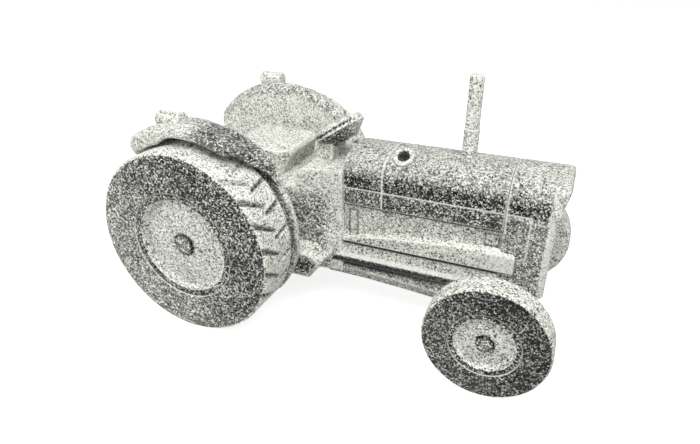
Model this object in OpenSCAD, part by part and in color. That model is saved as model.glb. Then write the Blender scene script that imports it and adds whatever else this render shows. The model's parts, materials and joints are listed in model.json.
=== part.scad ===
// Carved granite model of a farm tractor: stone body pieces, four wheels that turn on axle pins.
// X runs forward, Z up; the origin is under the middle of the model, on the ground.

/* [Wheels] */
// Radius of a rear wheel to the tips of its lugs
rear_wheel_r = 150; // [140:1:156]
// Width of a rear tyre
rear_tyre_w = 78; // [68:1:82]
// Height of a rear tyre from its hole to its tread
rear_tyre_h = 62; // [54:1:70]
// Radius of a front wheel
front_wheel_r = 87; // [80:1:94]
// Width of a front tyre
front_tyre_w = 38; // [30:1:40]
// Height of a front tyre from its hole to its tread
front_tyre_h = 38; // [32:1:44]
// Distance between the axles
wheelbase = 459; // [445:1:480]
// Width over the rear tyres
rear_outer_w = 424; // [418:1:440]
// Width over the front tyres
front_outer_w = 364; // [356:1:390]
// Depth of the dish in a rear wheel
rear_dish = 8; // [4:0.5:12]
// Depth of the dish in a front wheel
front_dish = 6; // [3:0.5:9]
// Height of the lugs on a rear tyre
lug_h = 4.5; // [3:0.5:6]
// Width of the grooves between the lugs
groove_w = 11; // [6:1:14]
// Lugs on each half of a rear tyre
lug_count = 24; // [16:2:26]
// How far a lug leans round the tyre between shoulder and middle
lug_lean = 27; // [8:1:30]

/* [Bonnet] */
// Width of the bonnet
bonnet_w = 122; // [112:1:128]
// Height of the bonnet from its lower edge to its top
bonnet_h = 82; // [74:1:92]
// Rear end of the bonnet, ahead of the rear axle
bonnet_rear_x = 203; // [196:1:208]
// Joint between bonnet and nose, behind the front axle
nose_setback = 8; // [0:1:14]
// Front of the grille, ahead of the front axle
grille_ahead = 60; // [52:1:66]
// Overhang of the visor beyond the grille
visor_overhang = 12; // [8:1:16]
// Radius of the bonnet's upper corners
bonnet_corner_r = 28; // [20:1:32]
// Radius of the crown across the bonnet's top
bonnet_crown_r = 150; // [120:5:240]
// Width of an engraved line
line_w = 2.2; // [1.5:0.1:3]
// Depth of an engraved line
line_d = 1.4; // [0.8:0.1:2]

/* [Body] */
// Height of the front axle's beam
beam_h = 24; // [20:1:28]
// Height of the saddle between the front axle and the nose
saddle_t = 7; // [4:1:10]
// Height of the engine from the nose's underside to the bonnet
engine_h = 90; // [82:1:98]
// How far the engine's flanks lie inside the bonnet's
engine_inset = 5; // [3:0.5:8]
// How far the rails stand out beyond the engine
rail_out = 11; // [9:1:14]
// Depth of the sump below the nose's underside
sump_depth = 50; // [42:1:56]
// Thickness of the seat
seat_t = 40; // [30:1:46]
// Width of the seat
seat_w = 120; // [100:1:130]
// Length of the seat
seat_l = 115; // [100:1:122]

/* [Fenders] */
// Running gap between lugs and fender
fender_gap = 9; // [6:0.5:12]
// Thickness of the fender at its crest
fender_t = 19; // [16:1:24]
// Thickness of the fender's outer lip
lip_t = 13; // [10:1:15]
// Running gap between a tyre and the fender's inner plate
plate_gap = 10; // [7:0.5:14]
// Thickness of the fender's inner plate
plate_t = 12; // [9:1:14]
// How far the fender's lip lies inside the tyre's outer face
lip_inset = 26; // [16:1:34]

/* [Fittings] */
// Radius of the steering wheel
steer_r = 42; // [36:1:46]
// Lean of the steering wheel
steer_lean = 33; // [28:1:38]
// Radius of the exhaust pipe
pipe_r = 10.5; // [9:0.5:12]
// Height of the exhaust stack above the bonnet
stack_h = 119; // [92:1:150]
// Radius of the hole in the filler boss
filler_r = 9; // [7:0.5:10]
// Radius of the lamps on the fenders
lamp_r = 12.5; // [10:0.5:15]
// Length of the lamps on the fenders
lamp_l = 43; // [34:1:52]
// Radius of the rear axle pins
rear_pin_r = 11; // [9:0.5:13]
// Radius of the front axle pins
front_pin_r = 8; // [6:0.5:9]
// Radial running clearance between pin and wheel
pin_gap = 0.1; // [0.05:0.01:0.1]

/* [Hidden] */
$fn = 96;

polished = "#55585a";
honed = "#8f918e";
sawn = "#c9c9c2";

far = 1000;
fit = 0.1;
seat_gap = 0.3;

// Places: body pieces measure x from the rear axle
rear_x = -(wheelbase + front_wheel_r - rear_wheel_r) / 2;
front_x = rear_x + wheelbase;
rear_face_y = rear_outer_w / 2;
front_face_y = front_outer_w / 2;
half_w = bonnet_w / 2;
nose_rear_x = wheelbase - nose_setback;
grille_x = wheelbase + grille_ahead;
body_low_z = front_wheel_r + beam_h / 2 + saddle_t;
bonnet_low_z = body_low_z + engine_h;
bonnet_top_z = bonnet_low_z + bonnet_h;
gearbox_rise = 29;
gearbox_top_z = bonnet_low_z + gearbox_rise;
scuttle_t = 25;
scuttle_top_z = gearbox_top_z + scuttle_t;
seat_top_z = gearbox_top_z + seat_t;
fender_in_y = rear_face_y - rear_tyre_w - plate_gap - plate_t;
fender_out_y = rear_face_y - lip_inset;

// Extrusions along the model's own axes, each from a start to an end
module along_x(from, to) translate([from, 0, 0]) rotate([90, 0, 90]) linear_extrude(to - from) children();
module along_y(from, to) translate([0, to, 0]) rotate([90, 0, 0]) linear_extrude(to - from) children();
module along_z(from, to) translate([0, 0, from]) linear_extrude(to - from) children();
module both_sides() {
    children();
    mirror([0, 1, 0]) children();
}
// Children are drawn with x measured from the rear axle
module body_frame() translate([rear_x, 0, 0]) children();

// Bonnet, nose and grille

// Cross-section of the bonnet: upright sides, round corners and a crowned top that meet smoothly
module bonnet_outline(low_z, inset = 0) {
    half = half_w - inset;
    corner = bonnet_corner_r - inset;
    crown = bonnet_crown_r - inset;
    crown_z = bonnet_top_z - bonnet_crown_r;
    corner_y = half_w - bonnet_corner_r;
    corner_z = crown_z + sqrt(pow(bonnet_crown_r - bonnet_corner_r, 2) - corner_y * corner_y);
    lean = atan2(corner_y, corner_z - crown_z);
    translate([-half, low_z]) square([2 * half, corner_z - low_z]);
    for (side = [-1, 1]) translate([side * corner_y, corner_z]) circle(corner);
    intersection() {
        translate([0, crown_z]) circle(crown);
        polygon([
            [-corner_y, corner_z], [corner_y, corner_z],
            [corner_y + far * tan(lean), corner_z + far], [-corner_y - far * tan(lean), corner_z + far]
        ]);
    }
}

// A cut that follows the bonnet's outline across the body at x
module arch_line(x) along_x(x, x + line_w) difference() {
    translate([-far / 2, bonnet_low_z]) square([far, far]);
    bonnet_outline(bonnet_low_z - 1, line_d);
}

// A straight cut along the flanks
module flank_line(from, to, z) both_sides()
    translate([from, half_w - line_d, z - line_w / 2]) cube([to - from, line_d + 1, line_w]);

flank_line_h = 28;
flank_line_z = bonnet_low_z + flank_line_h;
rear_arch_l = 63;
rear_arch_x = bonnet_rear_x + rear_arch_l;
flank_line_back = 32;
flank_line_end = grille_x - flank_line_back;

module bonnet() color(polished) body_frame() difference() {
    along_x(bonnet_rear_x, nose_rear_x) bonnet_outline(bonnet_low_z);
    arch_line(rear_arch_x);
    flank_line(bonnet_rear_x - 1, nose_rear_x + 1, flank_line_z);
    filler_seat() cylinder(r = filler_boss_r + fit, h = far);
    translate([exhaust_x, exhaust_y, exhaust_foot_z]) cylinder(r = sleeve_r + fit, h = far);
}

brow_drop = 51;
brow_z = bonnet_top_z - brow_drop;
brow_step = 2;
brow_x = grille_x + brow_step;
visor_x = grille_x + visor_overhang;
visor_tip_r = 11;
nose_edge_r = 9;
visor_edge_r = 13;
nose_line_l = 68;
grille_side = 15;
grille_w = bonnet_w - 2 * grille_side;
grille_margin = 12;
grille_low_z = body_low_z + grille_margin;
grille_top_z = brow_z - grille_margin;
grille_depth = 9;

// Plan of the nose with its two front corners rounded
module nose_plan(front, edge_r) {
    translate([nose_rear_x, -half_w]) square([front - edge_r - nose_rear_x, 2 * half_w]);
    translate([nose_rear_x, -half_w + edge_r]) square([front - nose_rear_x, 2 * (half_w - edge_r)]);
    for (side = [-1, 1]) translate([front - edge_r, side * (half_w - edge_r)]) circle(edge_r);
}

// Side view of the visor: a round tip that slopes back to the brow
module visor_profile() {
    tip = [visor_x - visor_tip_r, bonnet_top_z - visor_tip_r];
    translate(tip) circle(visor_tip_r);
    polygon([
        [nose_rear_x, brow_z], [brow_x, brow_z], [visor_x, tip[1]], [tip[0], tip[1]],
        [tip[0], bonnet_top_z], [nose_rear_x, bonnet_top_z]
    ]);
}

module nose() color(polished) body_frame() difference() {
    intersection() {
        along_x(nose_rear_x, visor_x) bonnet_outline(body_low_z);
        union() {
            along_z(body_low_z, bonnet_top_z) nose_plan(grille_x, nose_edge_r);
            intersection() {
                along_z(brow_z, bonnet_top_z) nose_plan(visor_x, visor_edge_r);
                along_y(-half_w, half_w) visor_profile();
            }
        }
    }
    arch_line(nose_rear_x);
    flank_line(nose_rear_x - 1, flank_line_end, flank_line_z);
    both_sides() translate([flank_line_end - line_w, half_w - line_d, flank_line_z - nose_line_l])
        cube([line_w, line_d + 1, nose_line_l]);
    translate([grille_x - grille_depth, -grille_w / 2, grille_low_z])
        cube([grille_depth + 1, grille_w, grille_top_z - grille_low_z]);
}

grille_bars = 9;
grille_bar_w = 5;
grille_back_t = 3;
grille_recess = 1.5;
module grille() color(sawn) body_frame() {
    w = grille_w - 2 * fit;
    low = grille_low_z + fit;
    h = grille_top_z - grille_low_z - 2 * fit;
    pitch = (w - grille_bar_w) / (grille_bars - 1);
    translate([grille_x - grille_depth, -w / 2, low]) cube([grille_back_t, w, h]);
    for (i = [0 : grille_bars - 1])
        translate([grille_x - grille_depth, -w / 2 + i * pitch, low])
            cube([grille_depth - grille_recess, grille_bar_w, h]);
}

// Engine with its rails and sump

engine_y = half_w - engine_inset;
rail_y = engine_y + rail_out;
rail_rise = 26;
rail_low_z = body_low_z + rail_rise;
rail_h = 34;
rail_top_z = rail_low_z + rail_h;
rail_rear_h = 6;
rail_knee_l = 80;
rail_knee_h = 20;
rail_peak_back = 12;
rail_past = 22;
rail_front_x = nose_rear_x + rail_past;
rail_r = 9;
foot_rail_drop = 14;
foot_rail_low_z = body_low_z - foot_rail_drop;
foot_rail_h = 17;
foot_rail_top_z = foot_rail_low_z + foot_rail_h;
foot_rail_r = 7;
foot_rail_past = 2;
foot_rail_front_x = nose_rear_x + foot_rail_past;
slot_h = 6;
band_out = 5;
band_y = engine_y + band_out;
sump_inset = 12;
sump_y = half_w - sump_inset;
sump_flare = 8;
sump_flare_h = 12;
sump_r = 10;
sump_z = body_low_z - sump_depth;
sump_back = 56;
sump_front_x = nose_rear_x - sump_back;
pad_t = 1.2;
arch_pad_w = 14;
arch_pad_ahead = 10;
arch_pad_x = bonnet_rear_x + arch_pad_ahead;
arch_pad_rise = 18;
arch_pad_low_z = rail_low_z + arch_pad_rise;
arch_pad_top_z = bonnet_low_z - arch_pad_ahead;
square_pad_l = 20;
square_pad_h = 22;
square_pad_x = nose_rear_x - square_pad_h;
square_pad_rise = 4;
square_pad_z = rail_top_z + square_pad_rise;

// A rail's cross-section: flat outside, round on top
module rail_section(low, top, r) {
    translate([0, low]) square([rail_y, top - low - r]);
    translate([0, low]) square([rail_y - r, top - low]);
    translate([rail_y - r, top - r]) circle(r);
}

// Upper rail, rising from the scuttle to a round end beside the nose
module upper_rail() intersection() {
    along_x(bonnet_rear_x, rail_front_x) rail_section(rail_low_z, rail_top_z, rail_r);
    along_y(0, rail_y) {
        polygon([
            [bonnet_rear_x, rail_low_z], [bonnet_rear_x, rail_low_z + rail_rear_h],
            [bonnet_rear_x + rail_knee_l, rail_low_z + rail_knee_h],
            [nose_rear_x - rail_peak_back, rail_top_z], [rail_front_x - rail_r, rail_top_z],
            [rail_front_x - rail_r, rail_top_z - rail_r], [rail_front_x, rail_top_z - rail_r],
            [rail_front_x, rail_low_z]
        ]);
        translate([rail_front_x - rail_r, rail_top_z - rail_r]) circle(rail_r);
    }
}

// Shallow raised pads on the engine's flank: one with a round top, one square
module flank_pads() along_y(0, engine_y + pad_t) {
    translate([arch_pad_x, arch_pad_low_z])
        square([arch_pad_w, arch_pad_top_z - arch_pad_low_z - arch_pad_w / 2]);
    translate([arch_pad_x + arch_pad_w / 2, arch_pad_top_z - arch_pad_w / 2]) circle(arch_pad_w / 2);
    translate([square_pad_x, square_pad_z]) square([square_pad_l, square_pad_h]);
}

module engine_block() color(sawn) body_frame() difference() {
    union() {
        along_x(bonnet_rear_x, nose_rear_x) {
            translate([-engine_y, body_low_z]) square([2 * engine_y, engine_h]);
            polygon([
                [-rail_y + foot_rail_r, body_low_z], [rail_y - foot_rail_r, body_low_z],
                [rail_y - pad_t, foot_rail_top_z - foot_rail_r], [band_y, rail_low_z - slot_h],
                [-band_y, rail_low_z - slot_h], [-rail_y + pad_t, foot_rail_top_z - foot_rail_r]
            ]);
        }
        along_x(bonnet_rear_x, sump_front_x) {
            flare_y = sump_y + sump_flare;
            flare_z = sump_z + sump_r + sump_flare_h;
            polygon([
                [-sump_y, sump_z + sump_r], [sump_y, sump_z + sump_r], [flare_y, flare_z],
                [flare_y, foot_rail_low_z - slot_h], [-flare_y, foot_rail_low_z - slot_h],
                [-flare_y, flare_z]
            ]);
            translate([-sump_y, sump_z + sump_r]) square([2 * sump_y, sump_depth - sump_r]);
            translate([-sump_y + sump_r, sump_z]) square([2 * (sump_y - sump_r), 2 * sump_r]);
            for (side = [-1, 1]) translate([side * (sump_y - sump_r), sump_z + sump_r]) circle(sump_r);
        }
        both_sides() {
            upper_rail();
            along_x(bonnet_rear_x, foot_rail_front_x)
                rail_section(foot_rail_low_z, foot_rail_top_z, foot_rail_r);
            flank_pads();
        }
    }
    translate([nose_rear_x, -half_w - seat_gap, 0]) cube([far, 2 * (half_w + seat_gap), far]);
    translate([sump_front_x, -far / 2, 0]) cube([far, far, body_low_z]);
}

// Gearbox, scuttle, rear axle, seat and footplates

gearbox_rear_x = 40;
gearbox_drop = 34;
gearbox_low_z = body_low_z - gearbox_drop;
neck_out = 5;
gearbox_neck = half_w + neck_out;
neck_l = 8;
flank_x = bonnet_rear_x - neck_l;
flank_l = 99;
flank_d = fender_in_y - gearbox_neck;
flank_r = (flank_l * flank_l + flank_d * flank_d) / (2 * flank_d);
drum_r = 34;
drum_back = 47;
drum_x = bonnet_rear_x - drum_back;
drum_rise = 46;
drum_z = gearbox_low_z + drum_rise;
drum_share = 0.22;
drum_y = gearbox_neck + drum_share * flank_d;

// The round cut that hollows a flank of the gearbox between scuttle and fender
module flank_cut(r) translate([flank_x, gearbox_neck + flank_r]) circle(r);

// Plan of the gearbox, wide between the fenders and drawn in to the bonnet's width
module gearbox_plan() difference() {
    translate([gearbox_rear_x, -fender_in_y]) square([bonnet_rear_x - gearbox_rear_x, 2 * fender_in_y]);
    both_sides() {
        flank_cut(flank_r);
        translate([flank_x, gearbox_neck]) square([far, far]);
    }
}

// Round drum that stands out of each flank above the footplate
module drum(r) translate([drum_x, 0, drum_z]) rotate([-90, 0, 0]) cylinder(r = r, h = drum_y);

module gearbox() color(honed) body_frame() {
    along_z(gearbox_low_z, gearbox_top_z) gearbox_plan();
    both_sides() drum(drum_r);
}

scuttle_l = 69;
scuttle_rear_x = bonnet_rear_x - scuttle_l;
scuttle_edge = 8;
module scuttle() color(sawn) body_frame() intersection() {
    along_z(gearbox_top_z, scuttle_top_z) gearbox_plan();
    along_y(-fender_in_y, fender_in_y) translate([scuttle_rear_x, gearbox_top_z]) {
        square([scuttle_l, scuttle_t - scuttle_edge]);
        translate([scuttle_edge, 0]) square([scuttle_l - scuttle_edge, scuttle_t]);
        translate([scuttle_edge, scuttle_t - scuttle_edge]) circle(scuttle_edge);
    }
}

trumpet_r = 34;
trumpet_proud = 3;
trumpet_end_y = fender_in_y + plate_t + trumpet_proud;
axle_block_rear_x = -62;
axle_block_inset = 42;
axle_block_y = fender_in_y - axle_block_inset;
axle_block_drop = 55;
axle_block_low_z = rear_wheel_r - axle_block_drop;
pin_root = 10;
pin_root_y = axle_block_y - pin_root;
module rear_axle() color(honed) body_frame() difference() {
    union() {
        translate([axle_block_rear_x, -axle_block_y, axle_block_low_z])
            cube([gearbox_rear_x - axle_block_rear_x, 2 * axle_block_y, gearbox_top_z - axle_block_low_z]);
        translate([0, trumpet_end_y, rear_wheel_r]) rotate([90, 0, 0])
            cylinder(r = trumpet_r, h = 2 * trumpet_end_y);
    }
    both_sides() translate([0, pin_root_y, rear_wheel_r]) rotate([-90, 0, 0])
        cylinder(r = rear_pin_r + fit, h = far);
}

seat_rear_x = -8;
seat_front_x = seat_rear_x + seat_l;
seat_corner_r = 26;
seat_undercut = 14;
seat_edge = 5;
module seat() color(sawn) body_frame() intersection() {
    along_y(-seat_w / 2, seat_w / 2) polygon([
        [seat_rear_x, gearbox_top_z], [seat_front_x - seat_undercut, gearbox_top_z],
        [seat_front_x, seat_top_z - seat_edge], [seat_front_x - seat_edge, seat_top_z],
        [seat_rear_x, seat_top_z]
    ]);
    along_z(gearbox_top_z, seat_top_z) {
        edge = seat_corner_r;
        translate([seat_rear_x, -seat_w / 2]) square([seat_l - edge, seat_w]);
        translate([seat_rear_x, -seat_w / 2 + edge]) square([seat_l, seat_w - 2 * edge]);
        for (side = [-1, 1]) translate([seat_front_x - edge, side * (seat_w / 2 - edge)]) circle(edge);
    }
}

foot_back = 19;
foot_front_x = bonnet_rear_x - foot_back;
foot_l = 66;
foot_rear_x = foot_front_x - foot_l;
foot_drop = 74;
foot_low_z = rear_wheel_r - foot_drop;
foot_h = 46;
foot_top_z = foot_low_z + foot_h;
foot_root = 6;
foot_in_y = gearbox_neck - foot_root;
foot_toe_l = 20;
foot_toe_h = 28;
foot_line_h = 25;
foot_line_z = foot_low_z + foot_line_h;
foot_line_w = 4;
foot_line_d = 3;
module footplate() body_frame() difference() {
    intersection() {
        along_y(foot_in_y, fender_in_y) polygon([
            [foot_rear_x, foot_low_z], [foot_front_x - foot_toe_l, foot_low_z],
            [foot_front_x, foot_low_z + foot_toe_h], [foot_front_x - foot_toe_l, foot_top_z],
            [foot_rear_x, foot_top_z]
        ]);
        along_z(0, gearbox_top_z) flank_cut(flank_r - fit);
    }
    drum(drum_r + fit);
    translate([0, fender_in_y - foot_line_d, foot_line_z])
        cube([foot_front_x - foot_toe_l / 2, far, foot_line_w]);
}
module footplate_left() color(sawn) footplate();
module footplate_right() color(sawn) mirror([0, 1, 0]) footplate();

// Fenders and lamps

fender_r = rear_wheel_r + fender_gap;
fender_top_r = fender_r + fender_t;
crest_r = 12;
lip_r = lip_t / 2;
lip_drop = 4;
plate_over = 2;
plate_r = rear_wheel_r + plate_over;
plate_drop = 102;
plate_low_z = rear_wheel_r - plate_drop;
plate_rear_drop = 38;
plate_rear_z = rear_wheel_r - plate_rear_drop;
plate_step = 0.5;
plate_root = 30;
plate_out_y = fender_in_y + plate_t;
fender_from = 32;
fender_to = 156;
rear_reach = 0.87;
fender_rear_x = -rear_reach * fender_r;
rear_corner_r = 54;
taper_angle = 72;
taper_x = fender_r * cos(taper_angle);
taper_r = 40;

// The fender's skin: a straight slope that leaves the round crest and meets the round lip
crest = [fender_top_r - crest_r, fender_in_y + crest_r];
lip = [fender_r - lip_drop + lip_r, fender_out_y - lip_r];
skin_l = norm(lip - crest);
skin_along = (lip - crest) / skin_l;
skin_lean = (crest_r - lip_r) / skin_l;
skin_normal = skin_along * skin_lean + [skin_along[1], -skin_along[0]] * sqrt(1 - skin_lean * skin_lean);
skin_in = crest + crest_r * skin_normal;
skin_out = lip + lip_r * skin_normal;

// A point at a radius and an angle about the rear axle, seen from the side
function about_axle(r, angle) = [r * cos(angle), rear_wheel_r + r * sin(angle)];
edge_high_angle = 54;
edge_top_angle = 47;
edge_low_angle = 37;
front_edge = [
    about_axle(fender_top_r + lip_t, edge_high_angle), about_axle(fender_top_r, edge_top_angle),
    about_axle(fender_r, edge_low_angle)
];

// Everything behind the sloping front edge, seen from the side
module behind_edge() polygon([
    [-far, rear_wheel_r], [front_edge[2][0], rear_wheel_r], front_edge[2], front_edge[1], front_edge[0],
    [front_edge[0][0], far], [-far, far]
]);

// Plan of the fender: a round rear corner, a straight lip and a front end that slopes in to the plate
module fender_plan() {
    rear = [fender_rear_x + rear_corner_r, fender_out_y - rear_corner_r];
    front = [taper_x, fender_out_y - taper_r];
    turn = front + taper_r * [sin(45), sin(45)];
    translate([fender_rear_x, 0]) square([taper_x - fender_rear_x, rear[1]]);
    translate([rear[0], 0]) square([taper_x - rear[0], fender_out_y]);
    translate(rear) circle(rear_corner_r);
    translate(front) circle(taper_r);
    polygon([
        [rear[0], 0], [rear[0], plate_out_y], turn, [turn[0] + turn[1] - plate_out_y, plate_out_y],
        [far, plate_out_y], [far, 0]
    ]);
}

// Cross-section of the fender over the tyre: crest, slope and lip, turned in to the inner plate
module fender_section() {
    translate(crest) circle(crest_r);
    translate(lip) circle(lip_r);
    polygon([[fender_r, fender_in_y], [fender_r, lip[1]], skin_out, skin_in, [crest[0], fender_in_y]]);
    translate([plate_r - plate_root, fender_in_y]) square([fender_r - plate_r + plate_root + 2, plate_t]);
}

// Lower part of the inner plate, which reaches down beside the tyre
module lower_plate() along_y(fender_in_y + plate_step, plate_out_y - plate_step) difference() {
    union() {
        translate([0, rear_wheel_r]) circle(plate_r);
        intersection() {
            translate([0, rear_wheel_r]) circle(fender_r + plate_step);
            translate([fender_rear_x + plate_step, plate_rear_z]) square([-fender_rear_x, fender_r]);
        }
    }
    translate([-far / 2, -far]) square([far, far + plate_low_z]);
    translate([-far, -far]) square([far, far + plate_rear_z]);
    translate([-far, -far]) square([far + fender_rear_x, 2 * far]);
}

module fender() body_frame() difference() {
    union() {
        intersection() {
            translate([0, 0, rear_wheel_r]) mirror([0, 1, 0]) rotate([90, 0, 0]) rotate([0, 0, fender_from])
                rotate_extrude(angle = fender_to - fender_from) fender_section();
            along_y(0, far) behind_edge();
            along_z(0, far) fender_plan();
        }
        lower_plate();
    }
    translate([0, 0, rear_wheel_r]) rotate([-90, 0, 0]) cylinder(r = trumpet_r + fit, h = far);
}
module fender_left() color(polished) fender();
module fender_right() color(polished) mirror([0, 1, 0]) fender();

lamp_x = -37;
lamp_in = 35;
lamp_y = fender_in_y + lamp_in;
lamp_rise = 0.5;
lamp_step = 1.5;
lamp_waist = [0.42, 0.52];
module lamp() body_frame() difference() {
    translate([lamp_x - lamp_l / 2, lamp_y, rear_wheel_r + fender_top_r + lamp_rise]) rotate([0, 90, 0]) {
        cylinder(r = lamp_r - lamp_step, h = lamp_l);
        cylinder(r = lamp_r, h = lamp_l * lamp_waist[0]);
        translate([0, 0, lamp_l * lamp_waist[1]]) cylinder(r = lamp_r, h = lamp_l * (1 - lamp_waist[1]));
    }
    translate([0, 0, rear_wheel_r]) rotate([-90, 0, 0]) rotate_extrude() polygon([
        [0, skin_in[1]], skin_in + [fit, 0], skin_out + [fit, 0], [0, skin_out[1]]
    ]);
}
module lamp_left() color(sawn) lamp();
module lamp_right() color(sawn) mirror([0, 1, 0]) lamp();

// Steering wheel on its pillar

steer_back = 33;
steer_x = bonnet_rear_x - steer_back;
steer_rise = 32;
steer_z = seat_top_z + steer_rise;
steer_rim_r = 7;
steer_base_r = 16;
steer_base_h = 25;
// Children are drawn with the steering wheel lying flat and its middle at the origin
module steering_frame() translate([steer_x, 0, steer_z]) rotate([0, -steer_lean, 0]) children();

// Half cross-section of the steering wheel: round rim, dished top and a cone underneath
module steer_section(grow = 0) {
    rim_x = steer_r - steer_rim_r;
    translate([rim_x, 0]) circle(steer_rim_r + grow);
    polygon([
        [0, -steer_base_h - grow], [steer_base_r + grow, -steer_base_h - grow],
        [rim_x, -steer_rim_r - grow], [rim_x, steer_rim_r / 2], [0, steer_rim_r / 3]
    ]);
}
module steering_wheel() color(honed) body_frame() steering_frame() rotate_extrude() steer_section();

pillar_rear_x = scuttle_rear_x + scuttle_edge;
pillar_l = 28;
pillar_front_x = pillar_rear_x + pillar_l;
pillar_low_y = 29;
pillar_high_y = 23;
module steering_column() color(sawn) body_frame() difference() {
    intersection() {
        along_y(-pillar_low_y, pillar_low_y) polygon([
            [pillar_rear_x, scuttle_top_z], [pillar_front_x, scuttle_top_z],
            [pillar_front_x, steer_z], [pillar_rear_x, steer_z]
        ]);
        along_x(pillar_rear_x, pillar_front_x) polygon([
            [-pillar_low_y, scuttle_top_z], [pillar_low_y, scuttle_top_z], [pillar_high_y, steer_z],
            [-pillar_high_y, steer_z]
        ]);
    }
    steering_frame() rotate_extrude() {
        steer_section(fit);
        square([2 * steer_r, 2 * steer_r]);
    }
}

// Exhaust stack and filler

exhaust_back = 71;
exhaust_x = nose_rear_x - exhaust_back;
exhaust_y = 8;
exhaust_root = 12;
exhaust_foot_z = bonnet_top_z - exhaust_root;
sleeve_h = 42;
exhaust_joint_z = bonnet_top_z + sleeve_h;
pipe_top_z = bonnet_top_z + stack_h;
sleeve_r = pipe_r + 1;
spigot_r = pipe_r - 4;
spigot_l = 10;
module exhaust_sleeve() color(sawn) body_frame() translate([exhaust_x, exhaust_y, 0]) difference() {
    along_z(exhaust_foot_z, exhaust_joint_z) circle(sleeve_r);
    along_z(exhaust_joint_z - spigot_l, exhaust_joint_z + 1) circle(spigot_r + fit);
}
module exhaust_pipe() color(sawn) body_frame() translate([exhaust_x, exhaust_y, 0]) {
    along_z(exhaust_joint_z, pipe_top_z) circle(pipe_r);
    along_z(exhaust_joint_z - spigot_l + seat_gap, exhaust_joint_z) circle(spigot_r);
}

filler_wall = 7;
filler_boss_r = filler_r + filler_wall;
filler_ahead = 90;
filler_x = bonnet_rear_x + filler_ahead;
filler_inset = 25;
filler_y = -(half_w - filler_inset);
filler_drop = 3;
filler_z = bonnet_top_z - filler_drop;
filler_lean = 40;
filler_depth = 14;
filler_proud = 7;
filler_floor = 3;
// Children are drawn with the filler's axis upright and the foot of its seat at the origin
module filler_seat() translate([filler_x, filler_y, filler_z]) rotate([filler_lean, 0, 0])
    translate([0, 0, -filler_depth]) children();
module filler_boss() color(sawn) body_frame() filler_seat() difference() {
    cylinder(r = filler_boss_r, h = filler_depth + filler_proud);
    translate([0, 0, filler_floor]) cylinder(r = filler_r, h = far);
}

// Front axle

beam_t = 26;
hub_gap = 5;
beam_end_y = front_face_y - front_tyre_w - hub_gap;
axle_boss_r = 16;
axle_boss_l = 32;
front_pin_root = 28;
module front_axle() color(honed) difference() {
    union() {
        translate([front_x - beam_t / 2, -beam_end_y + axle_boss_l - 2, front_wheel_r - beam_h / 2])
            cube([beam_t, 2 * (beam_end_y - axle_boss_l + 2), beam_h]);
        both_sides() translate([front_x, beam_end_y - axle_boss_l, front_wheel_r]) rotate([-90, 0, 0])
            cylinder(r = axle_boss_r, h = axle_boss_l);
    }
    both_sides() translate([front_x, beam_end_y - front_pin_root, front_wheel_r]) rotate([-90, 0, 0])
        cylinder(r = front_pin_r + fit, h = far);
}

bracket_l = 50;
bracket_w = 66;
bracket_lip = 3;
module axle_bracket() color(honed) difference() {
    translate([front_x - bracket_l / 2, -bracket_w / 2, front_wheel_r - beam_h / 2 + bracket_lip])
        cube([bracket_l, bracket_w, beam_h + saddle_t - bracket_lip]);
    translate([front_x - beam_t / 2 - fit, -far / 2, 0])
        cube([beam_t + 2 * fit, far, front_wheel_r + beam_h / 2]);
}

// Wheels, drawn round Z with the outer face at z = 0 and set on the axles

module on_left_axle(x, face_y, r) translate([x, face_y, r]) rotate([-90, 0, 0]) children();
module on_right_axle(x, face_y, r) translate([x, -face_y, r]) rotate([90, 0, 0]) children();

// Half cross-section of a tyre: flat sidewalls with eased shoulders
module tyre_section(r, bead_r, w, shoulder) {
    translate([bead_r, -w]) square([r - shoulder - bead_r, w]);
    translate([bead_r, -w + shoulder]) square([r - bead_r, w - 2 * shoulder]);
    for (z = [-shoulder, -w + shoulder]) translate([r - shoulder, z]) circle(shoulder);
}

// One slanting groove between two lugs; way is 1 or -1 for the side it leans to
module groove(turn, from, to, way) rotate([0, 0, turn])
    translate([rear_wheel_r - lug_h, 0, 0]) rotate([90, 0, 90]) linear_extrude(far) polygon([
        [way * -lug_lean / 2 - groove_w / 2, from], [way * -lug_lean / 2 + groove_w / 2, from],
        [way * lug_lean / 2 + groove_w / 2, to], [way * lug_lean / 2 - groove_w / 2, to]
    ]);

rear_bead_r = rear_wheel_r - rear_tyre_h;
rear_shoulder = 6;
groove_edge = 3;
groove_past = 3;
module rear_tyre(way) difference() {
    pitch = 360 / lug_count;
    middle = -rear_tyre_w / 2;
    rotate_extrude() tyre_section(rear_wheel_r, rear_bead_r, rear_tyre_w, rear_shoulder);
    for (i = [0 : lug_count - 1]) {
        groove(i * pitch, middle - groove_past, -groove_edge, way);
        groove((i + 0.5) * pitch, middle + groove_past, -rear_tyre_w + groove_edge, way);
    }
}
module tyre_rear_left() color(polished) on_left_axle(rear_x, rear_face_y, rear_wheel_r) rear_tyre(-1);
module tyre_rear_right() color(polished) on_right_axle(rear_x, rear_face_y, rear_wheel_r) rear_tyre(1);

front_bead_r = front_wheel_r - front_tyre_h;
front_shoulder = 5;
module front_tyre() rotate_extrude() tyre_section(front_wheel_r, front_bead_r, front_tyre_w, front_shoulder);
module tyre_front_left() color(polished) on_left_axle(front_x, front_face_y, front_wheel_r) front_tyre();
module tyre_front_right() color(polished) on_right_axle(front_x, front_face_y, front_wheel_r) front_tyre();

head_gap = 1.2;
head_proud = 3;
head_seat = 5;
rim_bevel = 4;
rim_inset = 1.5;
disc_inset = 4;
rear_head_r = rear_pin_r + 6;
front_head_r = front_pin_r + 4;
rear_boss_r = 30;
front_boss_r = 18;

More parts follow.
